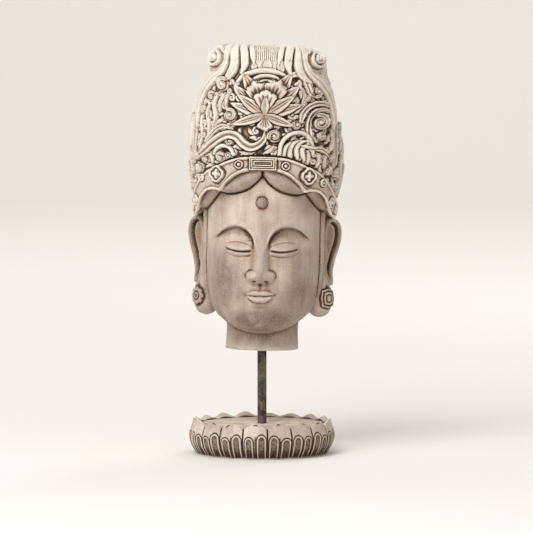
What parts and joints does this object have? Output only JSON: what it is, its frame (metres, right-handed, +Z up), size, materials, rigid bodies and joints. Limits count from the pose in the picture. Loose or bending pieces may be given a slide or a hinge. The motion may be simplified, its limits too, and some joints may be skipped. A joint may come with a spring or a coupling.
{
  "type": "bodhisattva head statue",
  "caption": "Carved wooden bodhisattva head in a tall scrollwork crown, held up by a square bar over a round lotus-petal base.",
  "frame": {"origin": "middle of the lotus base's flat underside", "axes": "+Z up along the bar, -Y the way the face looks, +X to the right of someone who faces the statue"},
  "size_m": [0.1935, 0.1925, 0.4999],
  "materials": {
    "limewashed_wood": "worn matt limewash over dark brown wood",
    "rubbed_bar_paint": "dark brown paint, rubbed and dusted with limewash",
    "limewashed_base_wood": "worn matt limewash over dark brown wood, blackened in the grooves"
  },
  "bodies": {
    "root": {"head": "limewashed_wood", "bar": "rubbed_bar_paint", "lotus_base": "limewashed_base_wood"}
  },
  "joints": []
}
